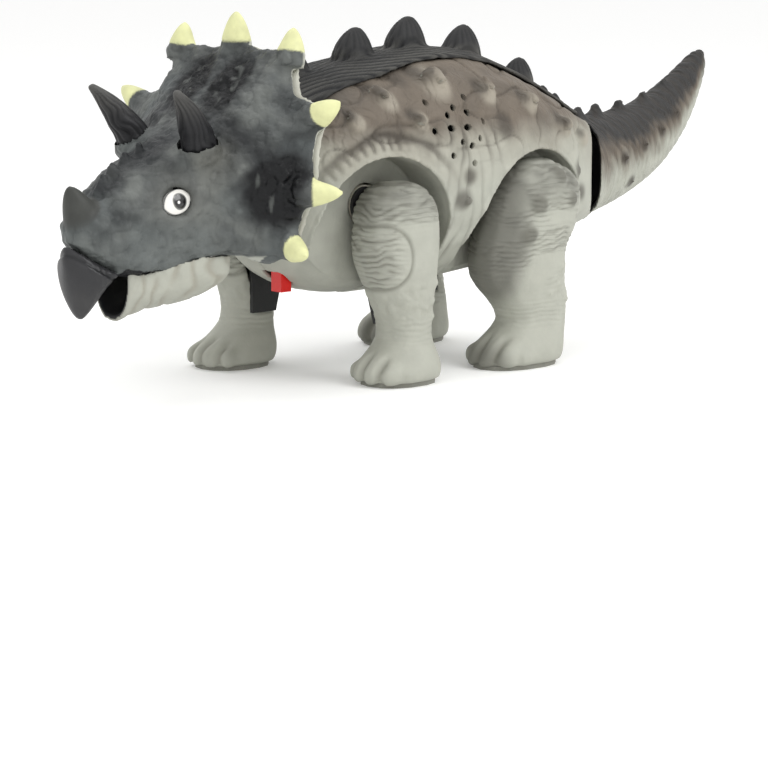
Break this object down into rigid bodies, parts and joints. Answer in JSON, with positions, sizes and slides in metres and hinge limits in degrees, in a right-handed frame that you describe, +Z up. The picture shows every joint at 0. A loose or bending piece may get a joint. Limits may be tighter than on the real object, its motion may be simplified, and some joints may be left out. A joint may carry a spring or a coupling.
{
  "type": "walking toy dinosaur",
  "caption": "Horned toy dinosaur on swinging legs, with a turning head, hinged jaw, swaying tail, spiked back ridge and a geared battery drive inside",
  "frame": {"origin": "on the floor in the toy's middle plane, halfway along it", "axes": "+X towards the head, +Y towards the toy's left, +Z up"},
  "size_m": [0.3315, 0.1083, 0.1316],
  "materials": {
    "body_skin": "matt moulded plastic with an airbrushed back",
    "ridge_skin": "matt charcoal plastic",
    "leg_skin": "matt pale grey plastic",
    "jaw_skin": "matt pale grey plastic",
    "tail_skin": "matt plastic, dark on top and pale below",
    "head_skin": "matt slate grey vinyl",
    "frill_lining": "matt pale grey plastic",
    "beak_black": "satin black plastic",
    "horn_black": "matt black plastic",
    "eye_paint": "gloss white with a painted pupil",
    "black_plastic": "matt black plastic",
    "steel": "plain steel",
    "nylon": "natural nylon",
    "brass": "plain brass",
    "rubber": "dark grey rubber",
    "red_plastic": "red plastic",
    "cell_wrap": "printed wrap",
    "board_green": "solder mask"
  },
  "bodies": {
    "toy_body": {"body_shell_left": "body_skin", "body_shell_right": "body_skin", "dorsal_ridge": "ridge_skin", "body_screws": "steel", "neck_post": "black_plastic", "neck_pin": "steel", "tail_post": "black_plastic", "tail_pin": "steel", "front_hip_axle": "steel", "rear_hip_axle": "steel", "gearbox_plate_left": "black_plastic", "gearbox_plate_right": "black_plastic", "gearbox_pillars": "black_plastic", "gear_axles": "steel", "motor_can": "steel", "battery_box": "black_plastic", "battery_cells": "cell_wrap", "battery_contacts": "steel", "battery_door": "leg_skin", "battery_door_screw": "steel", "circuit_board": "board_green", "speaker": "black_plastic", "switch_housing": "black_plastic"},
    "switch": {"switch_knob": "red_plastic"},
    "head": {"head_shell": "head_skin", "frill_back": "frill_lining", "head_frame": "black_plastic", "beak": "beak_black", "brow_horn_left": "horn_black", "brow_horn_right": "horn_black", "eye_left": "eye_paint", "eye_right": "eye_paint", "jaw_pin": "steel"},
    "jaw": {"lower_jaw": "jaw_skin", "jaw_bracket": "black_plastic"},
    "tail": {"tail_shell": "tail_skin", "tail_yoke": "black_plastic"},
    "main_wheel": {"main_gear": "nylon"},
    "second_wheel": {"second_gear": "nylon"},
    "first_wheel": {"first_gear": "nylon"},
    "pinion": {"motor_pinion": "brass"},
    "front_crank": {"front_crankshaft": "steel", "front_crank_gear": "nylon", "front_crank_discs": "nylon"},
    "rear_crank": {"rear_crankshaft": "steel", "rear_crank_gear": "nylon", "rear_crank_discs": "nylon"},
    "left_front": {"left_front_leg": "leg_skin", "left_front_drive_plate": "black_plastic", "left_front_foot_pad": "rubber"},
    "left_rear": {"left_rear_leg": "leg_skin", "left_rear_drive_plate": "black_plastic", "left_rear_foot_pad": "rubber"},
    "right_front": {"right_front_leg": "leg_skin", "right_front_drive_plate": "black_plastic", "right_front_foot_pad": "rubber"},
    "right_rear": {"right_rear_leg": "leg_skin", "right_rear_drive_plate": "black_plastic", "right_rear_foot_pad": "rubber"}
  },
  "joints": [
    {"name": "head_turn", "type": "hinge", "parent": "toy_body", "child": "head", "pos_m": [0.09, 0, 0.07], "axis": [0, 0, 1], "range_deg": [-18, 6]},
    {"name": "jaw_open", "type": "hinge", "parent": "head", "child": "jaw", "pos_m": [0.1079, 0.00185, 0.055], "axis": [-0.1028, 0.9947, 0], "range_deg": [0, 10]},
    {"name": "tail_wag", "type": "hinge", "parent": "toy_body", "child": "tail", "pos_m": [-0.072, 0, 0.0655], "axis": [0, 0, 1], "range_deg": [-13, 0]},
    {"name": "left_front_swing", "type": "hinge", "parent": "toy_body", "child": "left_front", "pos_m": [0.0447, 0, 0.05], "axis": [0, -1, 0], "range_deg": [-3, 21]},
    {"name": "right_front_swing", "type": "hinge", "parent": "toy_body", "child": "right_front", "pos_m": [0.0447, 0, 0.05], "axis": [0, -1, 0], "range_deg": [-21, 3]},
    {"name": "left_rear_swing", "type": "hinge", "parent": "toy_body", "child": "left_rear", "pos_m": [-0.0262, 0, 0.05], "axis": [0, -1, 0], "range_deg": [-14.7, 2.1]},
    {"name": "right_rear_swing", "type": "hinge", "parent": "toy_body", "child": "right_rear", "pos_m": [-0.0262, 0, 0.05], "axis": [0, -1, 0], "range_deg": [-2.1, 14.7]},
    {"name": "switch_slide", "type": "slide", "parent": "toy_body", "child": "switch", "axis": [0, -1, 0], "range_m": [0, 0.004]},
    {"name": "main_wheel_turn", "type": "hinge", "parent": "toy_body", "child": "main_wheel", "pos_m": [0.00925, 0, 0.07317], "axis": [0, 1, 0], "continuous": true},
    {"name": "second_wheel_turn", "type": "hinge", "parent": "toy_body", "child": "second_wheel", "pos_m": [-0.01532, 0, 0.09379], "axis": [0, 1, 0], "continuous": true},
    {"name": "first_wheel_turn", "type": "hinge", "parent": "toy_body", "child": "first_wheel", "pos_m": [-0.00422, 0, 0.0997], "axis": [0, 1, 0], "continuous": true},
    {"name": "pinion_turn", "type": "hinge", "parent": "toy_body", "child": "pinion", "pos_m": [0.00668, 0, 0.09341], "axis": [0, 1, 0], "continuous": true},
    {"name": "front_crank_turn", "type": "hinge", "parent": "toy_body", "child": "front_crank", "pos_m": [0.0447, 0, 0.063], "axis": [0, 1, 0], "continuous": true},
    {"name": "rear_crank_turn", "type": "hinge", "parent": "toy_body", "child": "rear_crank", "pos_m": [-0.0262, 0, 0.063], "axis": [0, 1, 0], "continuous": true}
  ],
  "couplings": [
    {"joint": "right_front_swing", "follows": "left_front_swing", "ratio": -1},
    {"joint": "left_rear_swing", "follows": "left_front_swing", "ratio": -0.7},
    {"joint": "right_rear_swing", "follows": "left_front_swing", "ratio": 0.7},
    {"joint": "pinion_turn", "follows": "first_wheel_turn", "ratio": -4},
    {"joint": "second_wheel_turn", "follows": "first_wheel_turn", "ratio": -0.25},
    {"joint": "main_wheel_turn", "follows": "first_wheel_turn", "ratio": 0.044118},
    {"joint": "front_crank_turn", "follows": "first_wheel_turn", "ratio": -0.125},
    {"joint": "rear_crank_turn", "follows": "first_wheel_turn", "ratio": -0.125}
  ]
}
